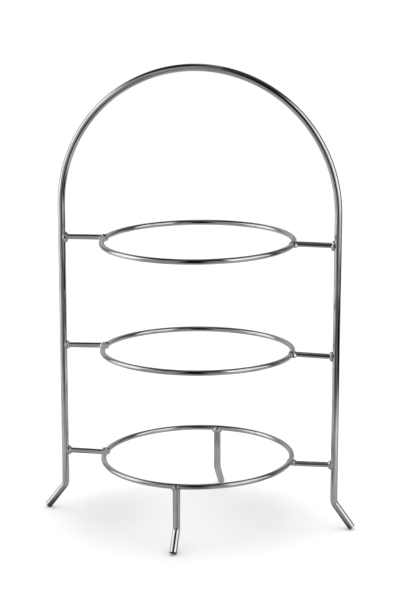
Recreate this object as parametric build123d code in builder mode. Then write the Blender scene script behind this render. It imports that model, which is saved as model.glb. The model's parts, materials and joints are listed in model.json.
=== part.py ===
"""Three-tier cake stand: a bent wire hoop that carries three plate rings on welded arms.

Frame: millimetres, +Z up, +X towards the right upright, -Y towards the front leg.
The origin is on the table, under the middle of the stand.
"""

import math
import os

from build123d import *

# Wire gauges
FRAME_WIRE = 7.5  # the hoop and the two short legs
RING_WIRE = 5.5  # the plate rings and their arms

# Hoop
UPRIGHT_SPACING = 288.0  # between the two uprights, centre to centre
SPRING_HEIGHT = 329.3  # where the straight uprights turn into the half circle

# Plate rings
RING_RADIUS = 98.0  # to the middle of the wire
TIER_HEIGHTS = {"bottom": 68.4, "middle": 182.5, "top": 296.8}
# Degrees about X and about Y, as welded
TIER_TILTS = {"bottom": (0.8, -0.5), "middle": (-1.1, -0.3), "top": (0.8, -0.4)}

# How high each arm's line runs at the ring and at the upright, as welded
ARM_HEIGHTS = {
    "bottom": {"left": (65.6, 65.3), "right": (67.1, 68.4)},
    "middle": {"left": (182.0, 180.4), "right": (183.8, 183.3)},
    "top": {"left": (296.7, 295.7), "right": (298.3, 298.2)},
}

# Each foot as bent: how high the bend is, and how far out its line meets the table
FEET = {"left": (28.0, 21.5), "right": (28.0, 20.7), "front": (22.0, 16.5), "rear": (25.5, 24.0)}
FOOT_BEND_RADIUS = 11.0
END_CHAMFER = 0.4

# Welds: how deep a wire end sinks into the wire it meets, and the bead around it
SET_DOWN = 1.6
BEAD_SPREAD = 2.6  # how far the bead runs along the wire that is met, past the wire end
BEAD_LENGTH = 3.2  # how far it climbs along the wire that ends there
BEAD_TOE = 0.25  # the bead's own thickness where it stops

frame_r = FRAME_WIRE / 2
ring_r = RING_WIRE / 2
upright_x = UPRIGHT_SPACING / 2


def foot_outline(foot, wire_x, top_height, side=1):
    """The line from a foot's end up round its bend to a straight run that stops at top_height."""
    bend_height, spread = FEET[foot]
    # The lowest point of a square-cut, chamfered end that leans outwards lies on the table.
    end_height = (frame_r - END_CHAMFER) * math.sin(math.atan2(spread, bend_height))
    end_spread = spread * (1 - end_height / bend_height)
    return FilletPolyline(
        (side * (wire_x + end_spread), end_height),
        (side * wire_x, bend_height),
        (side * wire_x, top_height),
        radius=FOOT_BEND_RADIUS,
    )


def end_rims(part, ends):
    """The circular edges around the flat wire ends at these points."""
    circles = part.edges().filter_by(GeomType.CIRCLE)
    return [circles.sort_by(lambda rim: (rim.arc_center - end).length)[0] for end in ends]


def make_hoop():
    """One length of wire: foot, upright, half circle, upright, foot."""
    with BuildPart() as hoop:
        with BuildLine(Plane.XZ) as path:
            foot_outline("right", upright_x, SPRING_HEIGHT)
            CenterArc((0, SPRING_HEIGHT), upright_x, 0, 180)
            foot_outline("left", upright_x, SPRING_HEIGHT, side=-1)
        wire = path.wire()
        with BuildSketch(Plane(origin=wire @ 0, z_dir=wire % 0)):
            Circle(frame_r)
        sweep(path=wire)
        chamfer(end_rims(hoop, [wire @ 0, wire @ 1]), END_CHAMFER)
    return hoop.part


def ring_plane(tier):
    """The plane of a plate ring, with its small tilts."""
    return Plane((0, 0, TIER_HEIGHTS[tier])).rotated((*TIER_TILTS[tier], 0))


def make_ring(tier):
    """A closed wire ring, its butt weld ground flush."""
    with BuildPart(ring_plane(tier)) as ring:
        Torus(RING_RADIUS, ring_r)
    return ring.part


def arm_line(heights, side):
    """An arm's middle line, from inside the ring's wire to inside the upright's."""
    start = RING_RADIUS + ring_r - SET_DOWN
    stop = upright_x - frame_r + SET_DOWN
    return Line((side * start, 0, heights[0]), (side * stop, 0, heights[1]))


def make_arm(heights, side, ring, hoop):
    """A short wire from ring to upright, coped to both where it sinks into them."""
    with BuildPart() as arm:
        with BuildLine() as path:
            line = arm_line(heights, side)
        with BuildSketch(Plane(origin=line @ 0, z_dir=line % 0)):
            Circle(ring_r)
        extrude(amount=line.length)
        add([ring, hoop], mode=Mode.SUBTRACT)
    return arm.part


def leg_top(side, tier="bottom"):
    """Where a leg's line meets the middle of the ring's wire: side is -1 in front and 1 behind."""
    return ring_plane(tier).from_local_coords((0, side * RING_RADIUS, 0))


def make_leg(name, side, ring):
    """A short wire under the bottom ring, bent outwards at the foot like the hoop."""
    top = leg_top(side)
    with BuildPart() as leg:
        with BuildLine(Plane.YZ) as path:
            foot_outline(name, abs(top.Y), top.Z - ring_r + SET_DOWN)
        wire = path.wire()
        with BuildSketch(Plane(origin=wire @ 0, z_dir=wire % 0)):
            Circle(frame_r)
        sweep(path=wire)
        chamfer(end_rims(leg, [wire @ 0]), END_CHAMFER)
        if side < 0:
            mirror(about=Plane.XZ, mode=Mode.REPLACE)
        add(ring, mode=Mode.SUBTRACT)
    return leg.part


def make_bead(joint, met_r, branch_r, neighbours):
    """A weld bead. joint stands on the met wire's middle line: its X runs along that wire and its Z
    along the wire that ends there. The bead flares from the one onto the other."""
    with BuildPart() as bead:
        with BuildSketch(joint.offset(met_r - SET_DOWN)):
            Ellipse(branch_r + BEAD_SPREAD, min(met_r, branch_r) - BEAD_TOE / 2)
        with BuildSketch(joint.offset(met_r + BEAD_LENGTH / 3)):
            Ellipse(branch_r + BEAD_SPREAD / 3, branch_r + BEAD_TOE)
        with BuildSketch(joint.offset(met_r + BEAD_LENGTH)):
            Circle(branch_r + BEAD_TOE)
        loft()
        add(neighbours, mode=Mode.SUBTRACT)
    return bead.part


def make_stand():
    """Every piece of the stand, by name."""
    hoop = make_hoop()
    pieces = {"hoop_frame": hoop}
    for tier in TIER_HEIGHTS:
        ring = make_ring(tier)
        pieces[f"{tier}_plate_ring"] = ring
        for name, side in (("left", -1), ("right", 1)):
            heights = ARM_HEIGHTS[tier][name]
            arm = make_arm(heights, side, ring, hoop)
            at_ring = Plane((side * RING_RADIUS, 0, heights[0]), x_dir=(0, 1, 0), z_dir=(side, 0, 0))
            at_upright = Plane(
                (side * upright_x, 0, heights[1]), x_dir=(0, 0, 1), z_dir=(-side, 0, 0)
            )
            pieces[f"{tier}_{name}_arm"] = arm
            pieces[f"{tier}_{name}_ring_weld"] = make_bead(at_ring, ring_r, ring_r, [ring, arm])
            pieces[f"{tier}_{name}_upright_weld"] = make_bead(
                at_upright, frame_r, ring_r, [hoop, arm]
            )
    ring = pieces["bottom_plate_ring"]
    for name, side in (("front", -1), ("rear", 1)):
        leg = make_leg(name, side, ring)
        under_ring = Plane(leg_top(side), x_dir=(1, 0, 0), z_dir=(0, 0, -1))
        pieces[f"{name}_leg"] = leg
        pieces[f"{name}_leg_weld"] = make_bead(under_ring, ring_r, frame_r, [ring, leg])
    return pieces


os.makedirs("parts", exist_ok=True)
for label, piece in make_stand().items():
    piece.label = label
    export_step(piece, f"parts/{label}.step")
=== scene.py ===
"""Chrome wire cake stand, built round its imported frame.

A bent hoop carries three plate rings on short welded arms, and two short legs stand under the
lowest ring. The file is laid out as an add-on and is run as a script. Lengths are in metres, +Z is
up, +X runs towards the right upright and -Y towards the front leg.
"""

import json
import math
from typing import NamedTuple

import bmesh
import bpy
from bpy.props import FloatProperty, FloatVectorProperty, IntProperty, PointerProperty
from mathutils import Matrix, Vector, noise


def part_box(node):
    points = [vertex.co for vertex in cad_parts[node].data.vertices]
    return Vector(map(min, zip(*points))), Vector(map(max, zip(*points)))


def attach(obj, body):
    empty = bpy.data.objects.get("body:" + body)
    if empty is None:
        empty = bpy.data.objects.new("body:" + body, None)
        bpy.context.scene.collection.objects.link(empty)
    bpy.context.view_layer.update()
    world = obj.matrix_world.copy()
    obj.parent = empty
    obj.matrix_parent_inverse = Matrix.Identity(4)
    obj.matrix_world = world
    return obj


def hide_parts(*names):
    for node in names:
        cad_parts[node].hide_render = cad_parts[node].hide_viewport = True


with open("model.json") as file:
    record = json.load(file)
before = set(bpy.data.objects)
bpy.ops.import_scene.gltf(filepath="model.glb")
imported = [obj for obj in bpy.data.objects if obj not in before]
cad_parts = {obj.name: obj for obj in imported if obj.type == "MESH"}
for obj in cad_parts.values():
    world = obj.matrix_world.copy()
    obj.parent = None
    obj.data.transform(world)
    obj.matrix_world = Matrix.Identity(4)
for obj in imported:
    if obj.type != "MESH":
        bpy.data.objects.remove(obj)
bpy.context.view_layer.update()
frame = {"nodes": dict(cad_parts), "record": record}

bl_info = {
    "name": "Three-Tier Cake Stand",
    "version": (1, 0, 0),
    "blender": (4, 5, 0),
    "location": "3D View > Sidebar > Cake Stand",
    "description": "Makes a chrome wire cake stand: hoop, plate rings, arms, legs and weld beads",
    "category": "Add Mesh",
}

MM = 0.001
TIERS = ("bottom", "middle", "top")
SIDES = {"left": -1, "right": 1}
ENDS = {"front": -1, "rear": 1}
BODY = "root"


# ---- Sizes and places, from the frame ----------------------------------------------------------


def mount_point(name):
    """Where the record puts a mount."""
    return next(Vector(m["pos_m"]) for m in frame["record"]["mounts"] if m["name"] == name)


def mount_axis(name):
    """Which way the record points a mount."""
    return next(Vector(m["axis"]) for m in frame["record"]["mounts"] if m["name"] == name)


def corners(node):
    """The corners of a CAD node's mesh."""
    return [vertex.co for vertex in frame["nodes"][node].data.vertices]


def foot_line(foot, straight):
    """A foot's far end and its bend, as (outward, height) pairs.

    The straight foot runs along its mount's axis, from where a corner of its cut end touches the
    table to where the wire stands straight up, straight metres from the middle plane.
    """
    point, axis = mount_point(f"{foot}_foot_tip"), mount_axis(f"{foot}_foot_tip")
    outward = math.hypot(point.x, point.y)
    lean, drop = math.hypot(axis.x, axis.y), -axis.z
    end_height = (FRAME_GAUGE / 2 - CAD_CHAMFER) * lean
    bend_height = point.z + (outward - straight) * drop / lean
    reach = straight + (bend_height - end_height) * lean / drop
    return (reach, end_height), (straight, bend_height)


def ring_tilts(node):
    """A ring's small turns about X and about Y, in radians, from the slope of its corners."""
    low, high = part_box(node)
    middle = (Vector(low) + Vector(high)) / 2
    arms = [co - middle for co in corners(node)]
    rise_x = sum(arm.x * arm.z for arm in arms) / sum(arm.x**2 for arm in arms)
    rise_y = sum(arm.y * arm.z for arm in arms) / sum(arm.y**2 for arm in arms)
    return math.atan(rise_y), -math.atan(rise_x)


def arm_heights(node):
    """How high an arm's line runs at the ring and at the upright."""
    points = corners(node)
    reach = [abs(co.x) for co in points]
    middle = (min(reach) + max(reach)) / 2
    ends = []
    inner = [co for co in points if abs(co.x) < middle]
    outer = [co for co in points if abs(co.x) > middle]
    for end in (inner, outer):
        out = sum(abs(co.x) for co in end) / len(end)
        ends.append((out, (min(co.z for co in end) + max(co.z for co in end)) / 2))
    (near, near_z), (far, far_z) = ends
    slope = (far_z - near_z) / (far - near)
    return near_z + slope * (RING_RADIUS - near), near_z + slope * (UPRIGHT_X - near)


hoop_low, hoop_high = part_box("hoop_frame")
arm_low, arm_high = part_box("bottom_right_arm")
ring_low, ring_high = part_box("bottom_plate_ring")
FRAME_GAUGE = hoop_high.y - hoop_low.y
RING_GAUGE = arm_high.y - arm_low.y
UPRIGHT_X = max(co.x for co in corners("hoop_frame") if co.z > hoop_high.z / 4) - FRAME_GAUGE / 2
SPRING_HEIGHT = hoop_high.z - FRAME_GAUGE / 2 - UPRIGHT_X
RING_RADIUS = (ring_high.x - ring_low.x - RING_GAUGE) / 2
TIER_HEIGHT = {tier: sum(end.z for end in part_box(f"{tier}_plate_ring")) / 2 for tier in TIERS}
TIER_TILTS = {tier: ring_tilts(f"{tier}_plate_ring") for tier in TIERS}
ARM_HEIGHTS = {(tier, side): arm_heights(f"{tier}_{side}_arm") for tier in TIERS for side in SIDES}
LEG_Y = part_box("rear_leg")[0].y + FRAME_GAUGE / 2
FOOT_BEND_RADIUS = 11 * MM
CAD_CHAMFER = 0.4 * MM  # on the cut ends in the CAD


# ---- Settings a user would change --------------------------------------------------------------


class WireSettings(bpy.types.PropertyGroup):
    frame_gauge: FloatProperty(
        name="Frame wire",
        description="Thickness of the wire of the hoop and the legs",
        default=FRAME_GAUGE,
        unit="LENGTH",
    )
    ring_gauge: FloatProperty(
        name="Ring wire",
        description="Thickness of the wire of the plate rings and their arms",
        default=RING_GAUGE,
        unit="LENGTH",
    )
    cut_rim: FloatProperty(
        name="Cut rim",
        description="How far the rim of a cut wire end is rounded over",
        default=0.6 * MM,
        unit="LENGTH",
    )
    waver: FloatProperty(
        name="Waver",
        description="How far hand-bent wire strays from its true line",
        default=0.15 * MM,
        unit="LENGTH",
    )
    sides: IntProperty(
        name="Sides",
        description="Faces around a wire",
        default=48,
        min=12,
        max=96,
    )


class WeldSettings(bpy.types.PropertyGroup):
    spread: FloatProperty(
        name="Spread",
        description="How far a bead runs along the wire that is met, past the wire that ends there",
        default=2.7 * MM,
        unit="LENGTH",
    )
    climb: FloatProperty(
        name="Climb",
        description="How far a bead climbs along the wire that ends there",
        default=3.4 * MM,
        unit="LENGTH",
    )
    ripple: FloatProperty(
        name="Ripple",
        description="Height of the ripples and lumps on a bead",
        default=0.3 * MM,
        unit="LENGTH",
    )


class ChromeSettings(bpy.types.PropertyGroup):
    bright: FloatVectorProperty(
        name="Bright",
        description="Colour of the clean plate",
        subtype="COLOR",
        default=(0.74, 0.742, 0.75),
    )
    # Also the dark of the stripes of painted reflection along the wires, as well as hazy or
    # fingered plate.
    hazy_and_painted_stripes: FloatVectorProperty(
        name="Hazy",
        description="Colour where the plate is thin or fingered",
        subtype="COLOR",
        default=(0.45, 0.452, 0.46),
    )


class StudioSettings(bpy.types.PropertyGroup):
    floor_tone: FloatProperty(
        name="Floor",
        description="How pale the floor is",
        default=0.81,
        subtype="FACTOR",
        min=0,
        max=1,
    )
    shade: FloatProperty(
        name="Shade",
        description="Strength of the soft shade under the stand",
        default=1.0,
        subtype="FACTOR",
        min=0,
        max=2,
    )


# ---- Node helpers ------------------------------------------------------------------------------


def add(tree, kind, values=None, **settings):
    """Adds a node, sets its properties, and sets or links its inputs by name or number."""
    node = tree.nodes.new(kind)
    for key, value in settings.items():
        setattr(node, key, value)
    for key, value in (values or {}).items():
        if isinstance(value, bpy.types.NodeSocket):
            tree.links.new(value, node.inputs[key])
        else:
            node.inputs[key].default_value = value
    return node


def calc(tree, operation, *values):
    """The result of a Math node."""
    return add(tree, "ShaderNodeMath", dict(enumerate(values)), operation=operation).outputs[0]


def geometry_tree(name, inputs):
    """A Geometry Nodes tree with a geometry in, these named inputs and a geometry out."""
    tree = bpy.data.node_groups.new(name, "GeometryNodeTree")
    tree.interface.new_socket("Geometry", in_out="INPUT", socket_type="NodeSocketGeometry")
    for label, kind in inputs.items():
        tree.interface.new_socket(label, in_out="INPUT", socket_type=kind)
    tree.interface.new_socket("Geometry", in_out="OUTPUT", socket_type="NodeSocketGeometry")
    return tree, tree.nodes.new("NodeGroupInput").outputs


def run_tree(source, tree, values):
    """Puts a tree on an object with its inputs set, and returns the modifier."""
    modifier = source.modifiers.new(tree.name, "NODES")
    modifier.node_group = tree
    for item in tree.interface.items_tree:
        if item.in_out == "INPUT" and item.name in values:
            modifier[item.identifier] = values[item.name]
    return modifier


def link(thing):
    """Puts an object in the scene."""
    bpy.context.scene.collection.objects.link(thing)
    return thing


def plain_piece(name, source):
    """Turns what a source object's modifier makes into a plain mesh object."""
    depsgraph = bpy.context.evaluated_depsgraph_get()
    mesh = bpy.data.meshes.new_from_object(source.evaluated_get(depsgraph), depsgraph=depsgraph)
    if not mesh.polygons:
        raise RuntimeError(f"{name} came out empty")
    source.modifiers.clear()
    bpy.data.objects.remove(source)
    mesh.name = name
    return link(bpy.data.objects.new(name, mesh))


def stand_for(piece, node):
    """Ties a finished piece to the frame in place of its CAD node."""
    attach(piece, BODY)
    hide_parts(node)


# ---- Wires -------------------------------------------------------------------------------------

# How many rings of corners a wire has along it.
HOOP_STATIONS = 1100
RING_STATIONS = 480
LEG_STATIONS = 200
ARM_STATIONS = 90


def strayed(tree, path, waver, seed, hold=1.0):
    """Moves a path's points a little way off its true line, times hold."""
    waves_per_metre = 9.0
    noise_gain = 4.0  # noise seldom leaves the middle quarter of its range
    place = add(tree, "GeometryNodeInputPosition").outputs[0]
    scaled = add(
        tree,
        "ShaderNodeTexNoise",
        {"Vector": place, "W": seed, "Scale": waves_per_metre},
        noise_dimensions="4D",
    )
    centred = add(
        tree,
        "ShaderNodeVectorMath",
        {0: scaled.outputs["Color"], 1: (0.5,) * 3},
        operation="SUBTRACT",
    )
    reach = calc(tree, "MULTIPLY", calc(tree, "MULTIPLY", waver, noise_gain), hold)
    offset = add(
        tree, "ShaderNodeVectorMath", {0: centred.outputs[0], "Scale": reach}, operation="SCALE"
    )
    moved = add(tree, "GeometryNodeSetPosition", {"Geometry": path, "Offset": offset.outputs[0]})
    return moved.outputs[0]


def drawn(tree, path, along, gauge, sides, material):
    """Sweeps round wire along a path and finishes the tree.

    Each corner keeps its place on the same wire laid out straight, as the attribute wire_place, so
    that draw lines and the stripes of painted reflection can follow the bends.
    """
    profile = add(tree, "GeometryNodeCurvePrimitiveCircle", {"Resolution": sides}).outputs[0]
    half = calc(tree, "DIVIDE", gauge, 2.0)
    size = add(tree, "ShaderNodeCombineXYZ", {axis: half for axis in "XYZ"}).outputs[0]
    profile = add(tree, "GeometryNodeTransform", {"Geometry": profile, "Scale": size})
    around = add(tree, "GeometryNodeCaptureAttribute", {"Geometry": profile.outputs[0]})
    around.capture_items.new("VECTOR", "around")
    position = add(tree, "GeometryNodeInputPosition").outputs[0]
    tree.links.new(position, around.inputs["around"])
    run = add(tree, "GeometryNodeCaptureAttribute", {"Geometry": path})
    run.capture_items.new("FLOAT", "along")
    tree.links.new(along, run.inputs["along"])
    wire = add(
        tree,
        "GeometryNodeCurveToMesh",
        {
            "Curve": run.outputs[0],
            "Profile Curve": around.outputs[0],
            "Scale": add(tree, "GeometryNodeInputRadius").outputs[0],
            "Fill Caps": True,
        },
    )
    place = add(tree, "ShaderNodeSeparateXYZ", {0: around.outputs["around"]})
    place = add(
        tree,
        "ShaderNodeCombineXYZ",
        {"X": place.outputs["X"], "Y": place.outputs["Y"], "Z": run.outputs["along"]},
    )
    marked = add(
        tree,
        "GeometryNodeStoreNamedAttribute",
        {"Geometry": wire.outputs[0], "Name": "wire_place"},
        data_type="FLOAT_VECTOR",
        domain="POINT",
    )
    tree.links.new(place.outputs[0], marked.inputs["Value"])
    smooth = add(tree, "GeometryNodeSetShadeSmooth", {"Geometry": marked.outputs[0]})
    whole = add(tree, "GeometryNodeRealizeInstances", {"Geometry": smooth.outputs[0]})
    plated = add(
        tree, "GeometryNodeSetMaterial", {"Geometry": whole.outputs[0], "Material": material}
    )
    add(tree, "NodeGroupOutput", {0: plated.outputs[0]})


def bent_wire_tree():
    """Wire of a stated gauge through the corners of a curve, bent at each to that point's radius.

    Stations crowd towards the ends, where the cut rims are rounded over.
    """
    tree, given = geometry_tree(
        "Bent Wire",
        {
            "Gauge": "NodeSocketFloat",
            "Sides": "NodeSocketInt",
            "Stations": "NodeSocketInt",
            "Crowding": "NodeSocketFloat",
            "Cut Rim": "NodeSocketFloat",
            "Waver": "NodeSocketFloat",
            "Seed": "NodeSocketFloat",
            "Material": "NodeSocketMaterial",
        },
    )
    bend_steps = 180  # points along each bend
    bends = add(
        tree,
        "GeometryNodeFilletCurve",
        {
            "Curve": given["Geometry"],
            "Count": bend_steps,
            "Radius": add(tree, "GeometryNodeInputRadius").outputs[0],
        },
        mode="POLY",
    ).outputs[0]
    length = add(tree, "GeometryNodeCurveLength", {0: bends}).outputs[0]
    line = add(tree, "GeometryNodeCurvePrimitiveLine").outputs[0]
    line = add(
        tree, "GeometryNodeResampleCurve", {"Curve": line, "Count": given["Stations"]}, mode="COUNT"
    ).outputs[0]
    share = calc(
        tree,
        "DIVIDE",
        add(tree, "GeometryNodeInputIndex").outputs[0],
        calc(tree, "SUBTRACT", given["Stations"], 1.0),
    )
    swing = calc(tree, "SINE", calc(tree, "MULTIPLY", share, 2 * math.pi))
    swing = calc(tree, "DIVIDE", calc(tree, "MULTIPLY", swing, given["Crowding"]), 2 * math.pi)
    along = calc(tree, "MULTIPLY", calc(tree, "SUBTRACT", share, swing), length)
    spot = add(tree, "GeometryNodeSampleCurve", {"Curves": bends, "Length": along}, mode="LENGTH")
    path = add(
        tree, "GeometryNodeSetPosition", {"Geometry": line, "Position": spot.outputs["Position"]}
    ).outputs[0]
    kept = add(tree, "GeometryNodeCaptureAttribute", {"Geometry": path})
    kept.capture_items.new("FLOAT", "along")
    tree.links.new(along, kept.inputs["along"])
    along = kept.outputs["along"]
    from_end = calc(tree, "MINIMUM", along, calc(tree, "SUBTRACT", length, along))
    held_length = 20 * MM  # the ends stay where the welds and the table hold them
    hold = calc(tree, "MINIMUM", calc(tree, "DIVIDE", from_end, held_length), 1.0)
    path = strayed(tree, kept.outputs[0], given["Waver"], given["Seed"], hold)
    short = calc(tree, "SUBTRACT", 1.0, calc(tree, "DIVIDE", from_end, given["Cut Rim"]))
    short = calc(tree, "MAXIMUM", short, 0.0)
    drop = calc(tree, "SQRT", calc(tree, "SUBTRACT", 1.0, calc(tree, "MULTIPLY", short, short)))
    drop = calc(tree, "MULTIPLY", calc(tree, "SUBTRACT", 1.0, drop), given["Cut Rim"])
    drop = calc(tree, "DIVIDE", drop, calc(tree, "DIVIDE", given["Gauge"], 2.0))
    radius = calc(tree, "SUBTRACT", 1.0, drop)
    path = add(tree, "GeometryNodeSetCurveRadius", {"Curve": path, "Radius": radius}).outputs[0]
    drawn(tree, path, along, given["Gauge"], given["Sides"], given["Material"])
    return tree


def plate_ring_tree():
    """A closed ring of wire, with its small tilts, set at its height."""
    tree, given = geometry_tree(
        "Plate Ring",
        {
            "Radius": "NodeSocketFloat",
            "Height": "NodeSocketFloat",
            "Tilts": "NodeSocketVector",
            "Gauge": "NodeSocketFloat",
            "Sides": "NodeSocketInt",
            "Stations": "NodeSocketInt",
            "Waver": "NodeSocketFloat",
            "Seed": "NodeSocketFloat",
            "Material": "NodeSocketMaterial",
        },
    )
    circle = add(
        tree,
        "GeometryNodeCurvePrimitiveCircle",
        {"Resolution": given["Stations"], "Radius": given["Radius"]},
    ).outputs[0]
    lift = add(tree, "ShaderNodeCombineXYZ", {"Z": given["Height"]}).outputs[0]
    placed = add(
        tree,
        "GeometryNodeTransform",
        {"Geometry": circle, "Translation": lift, "Rotation": given["Tilts"]},
    )
    path = strayed(tree, placed.outputs[0], given["Waver"], given["Seed"])
    path = add(tree, "GeometryNodeSetCurveRadius", {"Curve": path, "Radius": 1.0}).outputs[0]
    share = calc(tree, "DIVIDE", add(tree, "GeometryNodeInputIndex").outputs[0], given["Stations"])
    along = calc(tree, "MULTIPLY", calc(tree, "MULTIPLY", share, given["Radius"]), 2 * math.pi)
    drawn(tree, path, along, given["Gauge"], given["Sides"], given["Material"])
    return tree


def shared_tree(maker, name):
    """A tree that several operators use, made the first time it is asked for."""
    return bpy.data.node_groups.get(name) or maker()


def bent_wire(name, points, bends, gauge, stations, seed, crowding=0.93):
    """A piece of wire through these points, with a bend radius at each."""
    settings = bpy.context.scene.stand_wire
    curve = bpy.data.curves.new(name, "CURVE")
    curve.dimensions = "3D"
    spline = curve.splines.new("POLY")
    spline.points.add(len(points) - 1)
    for knot, point, bend in zip(spline.points, points, bends):
        knot.co = (*point, 1)
        knot.radius = bend
    source = link(bpy.data.objects.new(name, curve))
    run_tree(
        source,
        shared_tree(bent_wire_tree, "Bent Wire"),
        {
            "Gauge": gauge,
            "Sides": settings.sides,
            "Stations": stations,
            "Crowding": crowding,
            "Cut Rim": settings.cut_rim,
            "Waver": settings.waver,
            "Seed": seed,
            "Material": chrome_wire(),
        },
    )
    return plain_piece(name, source)


class STAND_OT_hoop(bpy.types.Operator):
    """Makes the hoop: foot, upright, arch, upright and foot from one length of wire"""

    bl_idname = "cakestand.hoop"
    bl_label = "Hoop"

    def execute(self, context):
        top = SPRING_HEIGHT + UPRIGHT_X
        halves = {}
        for side, sign in SIDES.items():
            outline = *foot_line(side, UPRIGHT_X), (UPRIGHT_X, top)
            halves[side] = [(sign * x, 0, z) for x, z in outline]
        points = halves["right"] + halves["left"][::-1]
        almost = 0.99999  # the two quarter bends of the arch just fail to meet
        half_bends = 0, FOOT_BEND_RADIUS, UPRIGHT_X * almost
        bends = half_bends + half_bends[::-1]
        gauge = context.scene.stand_wire.frame_gauge
        piece = bent_wire("hoop_wire", points, bends, gauge, HOOP_STATIONS, seed=1.7)
        stand_for(piece, "hoop_frame")
        return {"FINISHED"}


class STAND_OT_plate_rings(bpy.types.Operator):
    """Makes the three plate rings"""

    bl_idname = "cakestand.plate_rings"
    bl_label = "Plate rings"

    def execute(self, context):
        settings = context.scene.stand_wire
        for seed, tier in enumerate(TIERS):
            name = f"{tier}_ring_wire"
            source = link(bpy.data.objects.new(name, bpy.data.meshes.new(name)))
            run_tree(
                source,
                shared_tree(plate_ring_tree, "Plate Ring"),
                {
                    "Radius": RING_RADIUS,
                    "Height": TIER_HEIGHT[tier],
                    "Tilts": (*TIER_TILTS[tier], 0),
                    "Gauge": settings.ring_gauge,
                    "Sides": settings.sides,
                    "Stations": RING_STATIONS,
                    "Waver": settings.waver,
                    "Seed": seed + 5.3,
                    "Material": chrome_wire(),
                },
            )
            stand_for(plain_piece(name, source), f"{tier}_plate_ring")
        return {"FINISHED"}


class STAND_OT_arms(bpy.types.Operator):
    """Makes the six short arms between the rings and the uprights"""

    bl_idname = "cakestand.arms"
    bl_label = "Arms"

    def execute(self, context):
        gauge = context.scene.stand_wire.ring_gauge
        sunk = gauge * 0.3
        start = RING_RADIUS + gauge / 2 - sunk
        stop = UPRIGHT_X - context.scene.stand_wire.frame_gauge / 2 + sunk
        for row, tier in enumerate(TIERS):
            for side, sign in SIDES.items():
                heights = ARM_HEIGHTS[tier, side]
                points = [(sign * x, 0, z) for x, z in zip((start, stop), heights)]
                name = f"{tier}_{side}_arm"
                seed = 11.0 + 2 * row + sign
                piece = bent_wire(f"{name}_wire", points, (0, 0), gauge, ARM_STATIONS, seed, 0.6)
                stand_for(piece, name)
        return {"FINISHED"}


class STAND_OT_legs(bpy.types.Operator):
    """Makes the two short legs under the lowest ring"""

    bl_idname = "cakestand.legs"
    bl_label = "Legs"

    def execute(self, context):
        gauge = context.scene.stand_wire.frame_gauge
        for end_name, sign in ENDS.items():
            end, bend = foot_line(end_name, LEG_Y)
            top = (LEG_Y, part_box(f"{end_name}_leg")[1].z)
            points = [(0, sign * y, z) for y, z in (end, bend, top)]
            bends = (0, FOOT_BEND_RADIUS, 0)
            name = f"{end_name}_leg"
            piece = bent_wire(f"{name}_wire", points, bends, gauge, LEG_STATIONS, 21.0 + sign)
            stand_for(piece, name)
        return {"FINISHED"}


# ---- Weld beads --------------------------------------------------------------------------------


WELD_GRAIN = 520  # lumps to the metre


def weld_noise(point):
    """The height of a weld's fine lumps at a point."""
    return noise.fractal(point * WELD_GRAIN, 1.0, 2.1, 2)


def bead_rows(met, branch, size, bulge, hug, ripple, seed, aside):
    """Rows of points round a bead, from the met wire up to the branch and back inside both.

    The met wire lies along X through the origin and the branch stands along Z, that far aside along
    Y. bulge runs from 0, a hollow fillet, to 1, a round lump. hug runs from 0, where the bead stops
    on the near side of the met wire, to 1, where it swells over the top and bottom of it.
    """
    around, up = 72, 18
    skin = 0.04 * MM  # how far the bead's edges sink into the wires
    spread, climb = size
    rows = [[] for _ in range(up + 3)]
    for step in range(around):
        turn = 2 * math.pi * step / around
        ray = Vector((math.cos(turn), math.sin(turn), 0))
        lump = noise.noise(ray * 1.1 + Vector((seed, 0, 0)))
        across = ray.y * ray.y
        reach = spread * (1 - (0.35 - 0.55 * hug) * across) * (1 + 0.7 * lump)
        height = climb * (1 + 0.5 * noise.noise(ray * 0.9 + Vector((0, seed, 0))))

        def on_met(distance, depth=0.0):
            furthest = 1.5 + 0.6 * hug
            wrap = min(max((aside + distance * ray.y) / met, -furthest), furthest)
            out = met - depth
            return Vector((distance * ray.x, out * math.sin(wrap), out * math.cos(wrap)))

        corner = on_met(branch)
        toe = on_met(branch + reach, skin)
        top = max(corner.z, 0.0) + height
        crown = ray * (branch - skin) + Vector((0, aside, top))
        lift = Vector((toe.x, toe.y, top))
        pull = corner.lerp(lift, bulge * (1 + 0.35 * lump))
        pull.y += 0.45 * hug * met * across * ray.y
        outward = (pull - (toe + crown) / 2).normalized()
        if outward.dot(ray + Vector((0, 0, 1))) < 0:
            outward = -outward
        for row in range(up + 1):
            t = row / up
            point = toe * (1 - t) ** 2 + pull * 2 * t * (1 - t) + crown * t * t
            rough = weld_noise(point + Vector((seed, seed, 0)) / WELD_GRAIN)
            rings = 0.45 * math.sin(t * 3 * math.pi + 3 * lump)
            rows[row].append(point + outward * ripple * (rough + rings) * math.sin(math.pi * t))
        rows[up + 1].append(ray * (branch * 0.75) + Vector((0, aside, top - height * 0.1)))
        rows[up + 2].append(on_met(branch * 0.75 + reach * 0.5, met * 0.35))
    return rows


def add_lump(mesh, joint, shape, aside, seed):
    """Adds to a bead the lump where the weld was set down: a rough ball, closed in itself."""
    ripple = bpy.context.scene.stand_weld.ripple
    lump_share = 0.35  # how much of the way aside the lump follows the branch
    built = bmesh.new()
    built.from_mesh(mesh)
    for vertex in bmesh.ops.create_icosphere(built, subdivisions=4, radius=1)["verts"]:
        ray = vertex.co.copy()
        swell = 1 + 0.2 * noise.noise(ray * 1.3 + Vector((seed, seed, 0)))
        point = Vector([part * half * swell for part, half in zip(ray, shape.lump_size)])
        point += Vector((0, aside * lump_share, shape.lump_out))
        rough = weld_noise(point + Vector((0, 0, seed)) / WELD_GRAIN)
        vertex.co = joint @ (point + ray * ripple * rough)
    for face in built.faces:
        face.smooth = True
    built.to_mesh(mesh)
    built.free()


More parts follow.
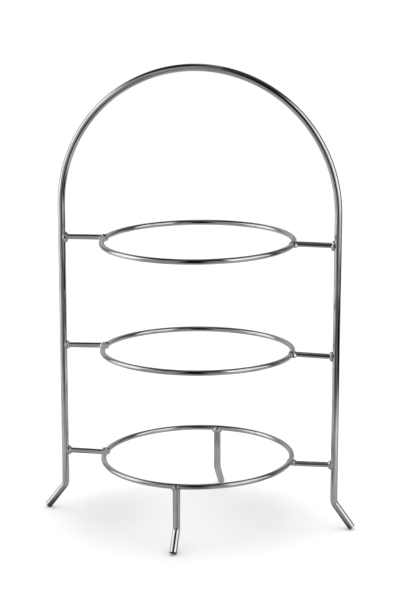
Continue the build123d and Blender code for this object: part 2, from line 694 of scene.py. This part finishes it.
def bead_piece(name, joint, met, branch, shape, seed, aside=0.0):
    """A weld bead as a closed ring of faces round the wire that ends in it, with its lump."""
    weld = bpy.context.scene.stand_weld
    larger, bulge, hug = shape.larger, shape.bulge, shape.hug
    size = weld.spread * larger, weld.climb * larger
    rows = bead_rows(met, branch, size, bulge, hug, weld.ripple, seed, aside)
    around = len(rows[0])
    faces = []
    for row in range(len(rows)):
        above = (row + 1) % len(rows)
        for step in range(around):
            after = (step + 1) % around
            low, high = row * around, above * around
            faces.append((low + step, low + after, high + after, high + step))
    mesh = bpy.data.meshes.new(name)
    mesh.from_pydata([joint @ point for row in rows for point in row], [], faces)
    mesh.polygons.foreach_set("use_smooth", [True] * len(faces))
    mesh.materials.append(chrome_weld())
    add_lump(mesh, joint, shape, aside, seed)
    mesh.validate()
    return link(bpy.data.objects.new(name, mesh))


def joint_at(place, met_along, branch_along):
    """A bead's own axes: X along the met wire, Z along the wire that ends there."""
    z = Vector(branch_along).normalized()
    x = Vector(met_along).normalized()
    turn = Matrix((x, z.cross(x), z)).transposed()
    return Matrix.Translation(place) @ turn.to_4x4()


class BeadShape(NamedTuple):
    """A bead's size against the usual one, how round it is, how far it hugs the wire that is met,
    and its lump: half its size along the met wire, across it and along the branch, and how far out
    along the branch its middle lies."""

    larger: float
    bulge: float
    hug: float
    lump_size: tuple
    lump_out: float


RING_BEAD = BeadShape(0.85, 0.85, 1.0, (4.1 * MM, 3.7 * MM, 4.0 * MM), 0.2 * MM)
UPRIGHT_BEAD = BeadShape(0.85, 0.9, 0.0, (4.1 * MM, 3.8 * MM, 3.7 * MM), 3.4 * MM)
LEG_BEAD = BeadShape(0.6, 0.8, 1.0, (4.8 * MM, 4.1 * MM, 3.4 * MM), 1.3 * MM)


class STAND_OT_arm_welds(bpy.types.Operator):
    """Makes the beads at both ends of each arm"""

    bl_idname = "cakestand.arm_welds"
    bl_label = "Arm welds"

    def execute(self, context):
        wires = context.scene.stand_wire
        ring, upright = wires.ring_gauge / 2, wires.frame_gauge / 2
        for row, tier in enumerate(TIERS):
            for side, sign in SIDES.items():
                seed = 31.7 + 5.1 * row + 2.3 * sign
                low, high = ARM_HEIGHTS[tier, side]
                drop = math.sin(TIER_TILTS[tier][1]) * sign * RING_RADIUS
                wire = TIER_HEIGHT[tier] - drop
                at_ring = joint_at((sign * RING_RADIUS, 0, wire), (0, 1, 0), (sign, 0, 0))
                at_upright = joint_at((sign * UPRIGHT_X, 0, high), (0, 0, 1), (-sign, 0, 0))
                name = f"{tier}_{side}_ring_bead"
                aside = (low - wire) * sign
                ring_bead = bead_piece(name, at_ring, ring, ring, RING_BEAD, seed, aside)
                stand_for(ring_bead, f"{tier}_{side}_ring_weld")
                name = f"{tier}_{side}_upright_bead"
                upright_bead = bead_piece(name, at_upright, upright, ring, UPRIGHT_BEAD, seed + 50)
                stand_for(upright_bead, f"{tier}_{side}_upright_weld")
        return {"FINISHED"}


class STAND_OT_leg_welds(bpy.types.Operator):
    """Makes the beads where the legs meet the lowest ring"""

    bl_idname = "cakestand.leg_welds"
    bl_label = "Leg welds"

    def execute(self, context):
        wires = context.scene.stand_wire
        ring, leg = wires.ring_gauge / 2, wires.frame_gauge / 2
        for end_name, sign in ENDS.items():
            rise = math.sin(TIER_TILTS["bottom"][0]) * RING_RADIUS * sign
            place = (0, sign * LEG_Y, TIER_HEIGHT["bottom"] + rise)
            joint = joint_at(place, (1, 0, 0), (0, 0, -1))
            name = f"{end_name}_leg_bead"
            bead = bead_piece(name, joint, ring, leg, LEG_BEAD, 71.3 + 4 * sign)
            stand_for(bead, f"{end_name}_leg_weld")
        return {"FINISHED"}


# ---- Chrome ------------------------------------------------------------------------------------


def metal(name):
    """A new material, its tree and its metal shader."""
    made = bpy.data.materials.new(name)
    made.use_nodes = True
    tree = made.node_tree
    shader = tree.nodes["Principled BSDF"]
    shader.inputs["Metallic"].default_value = 1.0
    return made, tree, shader


def texture(tree, place, scale, detail, stretch=(1, 1, 1), seed=0.0):
    """Noise over a place, stretched along its axes."""
    mapped = add(
        tree, "ShaderNodeMapping", {"Vector": place, "Scale": stretch, "Location": (seed, seed, 0)}
    )
    return add(
        tree, "ShaderNodeTexNoise", {"Vector": mapped.outputs[0], "Scale": scale, "Detail": detail}
    ).outputs[0]


def span(tree, value, low, high, from_low=0.3, from_high=0.7):
    """A value stretched onto a new range."""
    return add(
        tree,
        "ShaderNodeMapRange",
        {0: value, 1: from_low, 2: from_high, 3: low, 4: high},
    ).outputs[0]


def tone_between(tree, share, first, second):
    """A colour between two."""
    mix = add(tree, "ShaderNodeMix", {"Factor": share}, data_type="RGBA")
    mix.inputs["A"].default_value = (*first, 1)
    mix.inputs["B"].default_value = (*second, 1)
    return mix.outputs["Result"]


def chrome_wire():
    """Bright chrome over drawn wire: faint draw lines, long stripes of painted reflection in its
    colour, slow waves, haze and a few pits.
    """
    if "chrome_wire" in bpy.data.materials:
        return bpy.data.materials["chrome_wire"]
    settings = bpy.context.scene.stand_chrome
    made, tree, shader = metal("chrome_wire")
    room = add(tree, "ShaderNodeTexCoord").outputs["Object"]
    wire = add(tree, "ShaderNodeAttribute", attribute_name="wire_place").outputs["Vector"]
    haze = texture(tree, room, 42.0, 5.0)
    # Draw lines stretched along the wire. The same noise is also painted into the colour as
    # reflected stripes.
    draw_marks_and_painted_stripes = texture(tree, wire, 1.0, 3.0, (1100, 1100, 28))
    waves = texture(tree, room, 130.0, 2.0, seed=3.0)
    cells = add(tree, "ShaderNodeTexVoronoi", {"Vector": room, "Scale": 260.0})
    pits = span(tree, cells.outputs["Distance"], 1.0, 0.0, 0.03, 0.07)
    share = span(tree, haze, 0.0, 1.0)
    share = calc(tree, "MULTIPLY", share, 0.4)
    # Painted reflection: the draw-line noise darkens the base colour in long stripes, in place of
    # the stripes that the floor and the other wires make in the chrome.
    share = calc(tree, "ADD", share, span(tree, draw_marks_and_painted_stripes, -0.2, 0.8))
    colour = tone_between(tree, share, settings.bright, settings.hazy_and_painted_stripes)
    tree.links.new(colour, shader.inputs["Base Color"])
    rough = calc(tree, "ADD", span(tree, haze, 0.015, 0.06), span(tree, draw_marks_and_painted_stripes, 0.0, 0.03))
    rough = calc(tree, "ADD", rough, calc(tree, "MULTIPLY", pits, 0.25))
    tree.links.new(rough, shader.inputs["Roughness"])
    height = calc(tree, "ADD", calc(tree, "MULTIPLY", draw_marks_and_painted_stripes, 0.3), waves)
    height = calc(tree, "SUBTRACT", height, calc(tree, "MULTIPLY", pits, 0.5))
    bump = add(tree, "ShaderNodeBump", {"Height": height, "Strength": 0.5, "Distance": 0.05 * MM})
    tree.links.new(bump.outputs[0], shader.inputs["Normal"])
    return made


def chrome_weld():
    """Chrome over a weld bead: the plate follows fine ripples and is duller and darker in random
    patches.
    """
    if "chrome_weld" in bpy.data.materials:
        return bpy.data.materials["chrome_weld"]
    settings = bpy.context.scene.stand_chrome
    made, tree, shader = metal("chrome_weld")
    room = add(tree, "ShaderNodeTexCoord").outputs["Object"]
    grain = texture(tree, room, 900.0, 3.0)
    patches = texture(tree, room, 260.0, 3.0, seed=7.0)
    colour = tone_between(tree, span(tree, patches, 0.0, 1.0), settings.bright, settings.hazy_and_painted_stripes)
    tree.links.new(colour, shader.inputs["Base Color"])
    tree.links.new(span(tree, patches, 0.015, 0.08), shader.inputs["Roughness"])
    bump = add(tree, "ShaderNodeBump", {"Height": grain, "Strength": 0.5, "Distance": 0.05 * MM})
    tree.links.new(bump.outputs[0], shader.inputs["Normal"])
    return made


# ---- Studio ------------------------------------------------------------------------------------

# The camera stands to the right of the front leg and looks down a little.
CAMERA_BEARING = math.radians(12.5)
CAMERA_DISTANCE = 1.874
CAMERA_HEIGHT = 0.668
CAMERA_PITCH = math.radians(13.0)
CAMERA_SIDESTEP = 0.0023
CAMERA_LENS = 112.56

RIGHTWARD = Vector((math.cos(CAMERA_BEARING), math.sin(CAMERA_BEARING), 0))
AWAY = Vector((-math.sin(CAMERA_BEARING), math.cos(CAMERA_BEARING), 0))

# Softboxes, cards and dark flags round the stand, each laid over the ones before it. On the
# walls the first four numbers are bearings, in degrees to the right of straight behind the stand,
# and elevations seen from its middle. On the table they are metres to the right and metres away
# from the camera. Then come the width of the soft edge and the brightness.
DOME_RADIUS = 1.2
DOME_MIDDLE = 0.25
ROOM_TONE = 0.045
WALL_CARDS = (
    (-52, 41, -14, 42, 39, 0.5),  # paper sweep behind
    (-16, 12, 44, 100, 13, 0.34),
    (-5, 22, 4, 16, 5, 0.36),
    (50, 81, -20, 85, 12, 0.15),
    (123, 169, -20, 25, 12, 0.32),
    (-159, -122, -20, 40, 14, 0.37),
    (-165, -55, 45, 67, 5, 0.22),
    (-145, -57, 49, 83, 6, 0.01),
    (-113, -63, -14, 42, 20, 1.4),  # left softbox
    (-123, -82, 16, 36, 25, 1.53),
    (-60, -43, -20, 35, 3, 0.25),
    (92, 146, -7, 53, 11, 1.25),  # right softbox
    (94, 142, 3, 38, 7, 1.46),
    (42, 63, 25, 51, 11, 0.0),
    (145, 165, 49, 67, 3, 0.0),
    (174, 198, -22, 44, 9, 0.0),  # camera and its stand
)
# Bearings start here and run on past 180, so that the camera's card isn't cut where they wrap.
FIRST_BEARING = -167
TABLE_TONE = 0.45
TABLE_CARDS = (
    (-2.0, -0.3, -0.16, 2.0, 0.31, 0.8),
    (-2.0, -0.72, -0.3, 0.6, 0.38, 1.48),
    (-2.0, 2.0, 0.12, 2.0, 0.77, 0.57),
    (-0.92, -0.56, -2.0, -0.17, 0.14, 0.31),
    (0.27, 0.62, -0.46, -0.06, 0.24, 0.86),
    (0.22, 2.0, -2.0, -0.39, 0.17, 0.12),
    (0.58, 2.0, -2.0, 0.34, 0.24, 0.2),
    (0.64, 1.18, -0.77, 0.1, 0.14, 0.0),
    (-0.35, 0.14, -2.0, -0.4, 0.3, 0.03),
    (-0.02, 0.07, -0.4, -0.12, 0.05, 0.27),
)


def ramp(value, edge, soft):
    """Runs from 0 below an edge to 1 above it, smoothly over its soft width."""
    t = min(max((value - edge) / soft + 0.5, 0), 1)
    return t * t * (3 - 2 * t)


def cards_over(tone, cards, across, up):
    """The brightness at a place, with soft-edged cards laid over a tone."""
    for left, right, low, high, soft, level in cards:
        inside = ramp(across, left, soft) * ramp(-across, -right, soft)
        inside *= ramp(up, low, soft) * ramp(-up, -high, soft)
        tone += (level - tone) * inside
    return tone


def dome_tone(bearing, elevation):
    """How bright the walls are in a direction, in degrees."""
    ahead = FIRST_BEARING + (bearing - FIRST_BEARING) % 360
    return cards_over(ROOM_TONE, WALL_CARDS, ahead, elevation)


def table_tone(side, depth):
    """How bright the table's mirror image is."""
    return cards_over(TABLE_TONE, TABLE_CARDS, side, depth)


def glow(name, tone_attribute):
    """A light-giving material whose brightness follows a colour attribute."""
    made = bpy.data.materials.new(name)
    made.use_nodes = True
    tree = made.node_tree
    tree.nodes.remove(tree.nodes["Principled BSDF"])
    tone = add(tree, "ShaderNodeAttribute", attribute_name=tone_attribute)
    light = add(tree, "ShaderNodeEmission", {"Color": tone.outputs["Color"]})
    tree.links.new(light.outputs[0], tree.nodes["Material Output"].inputs["Surface"])
    return made


def reflected_only(thing):
    """Shows a studio piece in reflections and nowhere else."""
    thing.visible_camera = False
    thing.visible_diffuse = False
    thing.visible_transmission = False
    thing.visible_volume_scatter = False
    thing.visible_shadow = False


def toned_sheet(name, columns, rows, place, tone):
    """A grid of faces with corners at place(u, v) and the brightness tone(u, v)."""
    points = []
    tones = []
    for row in range(rows + 1):
        for column in range(columns + 1):
            u, v = column / columns, row / rows
            points.append(place(u, v))
            tones.append(tone(u, v))
    faces = []
    for row in range(rows):
        for column in range(columns):
            first = row * (columns + 1) + column
            faces.append((first, first + 1, first + columns + 2, first + columns + 1))
    mesh = bpy.data.meshes.new(name)
    mesh.from_pydata(points, [], faces)
    attribute = mesh.color_attributes.new("tone", "FLOAT_COLOR", "POINT")
    attribute.data.foreach_set("color", [part for t in tones for part in (t, t, t * 1.01, 1)])
    mesh.materials.append(glow(f"{name}_glow", "tone"))
    thing = link(bpy.data.objects.new(name, mesh))
    reflected_only(thing)
    return thing


def build_panels():
    """The panels and flags round the stand, as one dome, and the table as the chrome sees it."""
    lowest = math.degrees(math.atan2(-DOME_MIDDLE, DOME_RADIUS))

    def dome_angles(u, v):
        return -180 + 360 * u, lowest + (90 - lowest) * v

    def dome_place(u, v):
        bearing, elevation = (math.radians(angle) for angle in dome_angles(u, v))
        out = RIGHTWARD * math.sin(bearing) + AWAY * math.cos(bearing)
        flat = DOME_RADIUS * (1 if elevation < 0 else math.cos(elevation))
        rise = DOME_RADIUS * (math.tan(elevation) if elevation < 0 else math.sin(elevation))
        return out * flat + Vector((0, 0, DOME_MIDDLE + rise))

    toned_sheet("studio_panels", 180, 60, dome_place, lambda u, v: dome_tone(*dome_angles(u, v)))
    reach = DOME_RADIUS

    def table_spot(u, v):
        return (2 * u - 1) * reach, (2 * v - 1) * reach

    def table_place(u, v):
        side, depth = table_spot(u, v)
        return RIGHTWARD * side + AWAY * depth - Vector((0, 0, 0.5 * MM))

    def tone_there(u, v):
        return table_tone(*table_spot(u, v))

    toned_sheet("studio_table_mirror", 60, 60, table_place, tone_there)


# The soft shade under the stand: metres to the right and away, half widths, steepness and depth.
SHADE_PATCHES = (
    (-0.012, -0.012, 0.146, 0.128, 3.0, 0.11),
    (-0.090, 0.024, 0.048, 0.085, 1.0, 0.1),
    (0.062, 0.024, 0.056, 0.085, 1.0, 0.1),
)


def soft_patch(tree, room, side, depth, wide, deep, steepness, level):
    """A round patch on the floor that fades out from its middle."""
    mapped = add(
        tree,
        "ShaderNodeMapping",
        {
            "Vector": room,
            "Location": RIGHTWARD * side + AWAY * depth,
            "Rotation": (0, 0, CAMERA_BEARING),
            "Scale": (wide, deep, 1),
        },
        vector_type="TEXTURE",
    ).outputs[0]
    away = add(tree, "ShaderNodeVectorMath", {0: mapped}, operation="LENGTH").outputs["Value"]
    fade = calc(tree, "POWER", away, 2 * steepness)
    fade = calc(tree, "POWER", math.e, calc(tree, "MULTIPLY", fade, -1.0))
    return calc(tree, "MULTIPLY", fade, level)


def build_foot_shades():
    """The shade on the table that the nearer feet mirror, deepest where they touch it."""
    reach = 70 * MM
    deepest = 0.1
    mount_to_tip = 1.06  # a foot's mount is halfway up its straight end
    for name in ("left", "right", "front"):
        x, y = mount_point(f"{name}_foot_tip").xy * mount_to_tip

        def spot(u, v):
            turn = 2 * math.pi * u
            out = v * reach
            return Vector((x + out * math.cos(turn), y + out * math.sin(turn), -0.2 * MM))

        def tone(u, v):
            place = spot(u, v)
            open_tone = table_tone(place.dot(RIGHTWARD), place.dot(AWAY))
            return open_tone * (deepest + (1 - deepest) * ramp(v, 0.5, 1.0))

        toned_sheet(f"studio_{name}_foot_shade", 36, 12, spot, tone)


def build_floor():
    """The pale floor that the stand is seen on, see-through from below."""
    settings = bpy.context.scene.stand_studio
    made = bpy.data.materials.new("studio_floor")
    made.use_nodes = True
    tree = made.node_tree
    shader = tree.nodes["Principled BSDF"]
    shader.inputs["Roughness"].default_value = 1.0
    shader.inputs["Specular IOR Level"].default_value = 0.0
    room = add(tree, "ShaderNodeTexCoord").outputs["Object"]
    shades = [soft_patch(tree, room, *patch) for patch in SHADE_PATCHES]
    shade = calc(tree, "ADD", calc(tree, "ADD", shades[0], shades[1]), shades[2])
    shade = calc(tree, "MULTIPLY", shade, settings.shade)
    pale = (settings.floor_tone,) * 3
    tree.links.new(tone_between(tree, shade, pale, (0, 0, 0)), shader.inputs["Base Color"])
    clear = add(tree, "ShaderNodeBsdfTransparent")
    underside = add(tree, "ShaderNodeNewGeometry").outputs["Backfacing"]
    either = add(
        tree, "ShaderNodeMixShader", {0: underside, 1: shader.outputs[0], 2: clear.outputs[0]}
    )
    tree.links.new(either.outputs[0], tree.nodes["Material Output"].inputs["Surface"])
    half = 20.0
    rim = [(-half, -half, 0), (half, -half, 0), (half, half, 0), (-half, half, 0)]
    mesh = bpy.data.meshes.new("studio_floor")
    mesh.from_pydata(rim, [], [(0, 1, 2, 3)])
    mesh.materials.append(made)
    floor = link(bpy.data.objects.new("studio_floor", mesh))
    floor.visible_glossy = False


def build_light():
    """One broad soft light overhead for the floor, and a white world."""
    lamp = bpy.data.lights.new("overhead_softbox", "AREA")
    lamp.shape = "DISK"
    lamp.size = 1.6
    lamp.energy = 6
    softbox = link(bpy.data.objects.new("overhead_softbox", lamp))
    softbox.location = (0.1, 0.2, 1.6)
    softbox.visible_glossy = False
    softbox.visible_camera = False
    world = bpy.data.worlds.new("white_room")
    world.use_nodes = True
    world.node_tree.nodes["Background"].inputs["Color"].default_value = (1, 1, 1, 1)
    world.node_tree.nodes["Background"].inputs["Strength"].default_value = 1.25
    bpy.context.scene.world = world


def build_camera():
    """The camera, without roll, to the right of the front leg."""
    camera = bpy.data.cameras.new("camera")
    camera.lens = CAMERA_LENS
    camera.clip_end = 60
    seen = link(bpy.data.objects.new("camera", camera))
    seen.location = RIGHTWARD * CAMERA_SIDESTEP - AWAY * CAMERA_DISTANCE
    seen.location.z = CAMERA_HEIGHT
    seen.rotation_euler = (math.pi / 2 - CAMERA_PITCH, 0, CAMERA_BEARING)
    bpy.context.scene.camera = seen


class STAND_OT_studio(bpy.types.Operator):
    """Makes the floor, the light panels that the chrome mirrors, the lamp and the camera"""

    bl_idname = "cakestand.studio"
    bl_label = "Studio"

    def execute(self, context):
        build_floor()
        build_panels()
        build_foot_shades()
        build_light()
        build_camera()
        context.scene.view_settings.view_transform = "Standard"
        return {"FINISHED"}


# ---- Panel and registration --------------------------------------------------------------------


class STAND_PT_panel(bpy.types.Panel):
    """Lists the settings and the steps"""

    bl_idname = "STAND_PT_panel"
    bl_label = "Cake Stand"
    bl_space_type = "VIEW_3D"
    bl_region_type = "UI"
    bl_category = "Cake Stand"

    def draw(self, context):
        scene = context.scene
        for group in (scene.stand_wire, scene.stand_weld, scene.stand_chrome, scene.stand_studio):
            box = self.layout.box()
            for name in group.bl_rna.properties.keys():
                if name not in ("rna_type", "name"):
                    box.prop(group, name)
        for step in STEPS:
            self.layout.operator(step.bl_idname)


SETTINGS = {
    "stand_wire": WireSettings,
    "stand_weld": WeldSettings,
    "stand_chrome": ChromeSettings,
    "stand_studio": StudioSettings,
}
STEPS = (
    STAND_OT_studio,
    STAND_OT_hoop,
    STAND_OT_plate_rings,
    STAND_OT_arms,
    STAND_OT_legs,
    STAND_OT_arm_welds,
    STAND_OT_leg_welds,
)


def register():
    for group in SETTINGS.values():
        bpy.utils.register_class(group)
    for name, group in SETTINGS.items():
        setattr(bpy.types.Scene, name, PointerProperty(type=group))
    for step in STEPS:
        bpy.utils.register_class(step)
    bpy.utils.register_class(STAND_PT_panel)


def unregister():
    bpy.utils.unregister_class(STAND_PT_panel)
    for step in reversed(STEPS):
        bpy.utils.unregister_class(step)
    for name, group in SETTINGS.items():
        delattr(bpy.types.Scene, name)
        bpy.utils.unregister_class(group)


def main():
    """Registers the add-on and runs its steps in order."""
    register()
    bpy.ops.cakestand.studio()
    bpy.ops.cakestand.hoop()
    bpy.ops.cakestand.plate_rings()
    bpy.ops.cakestand.arms()
    bpy.ops.cakestand.legs()
    bpy.ops.cakestand.arm_welds()
    bpy.ops.cakestand.leg_welds()


if __name__ == "__main__":
    main()
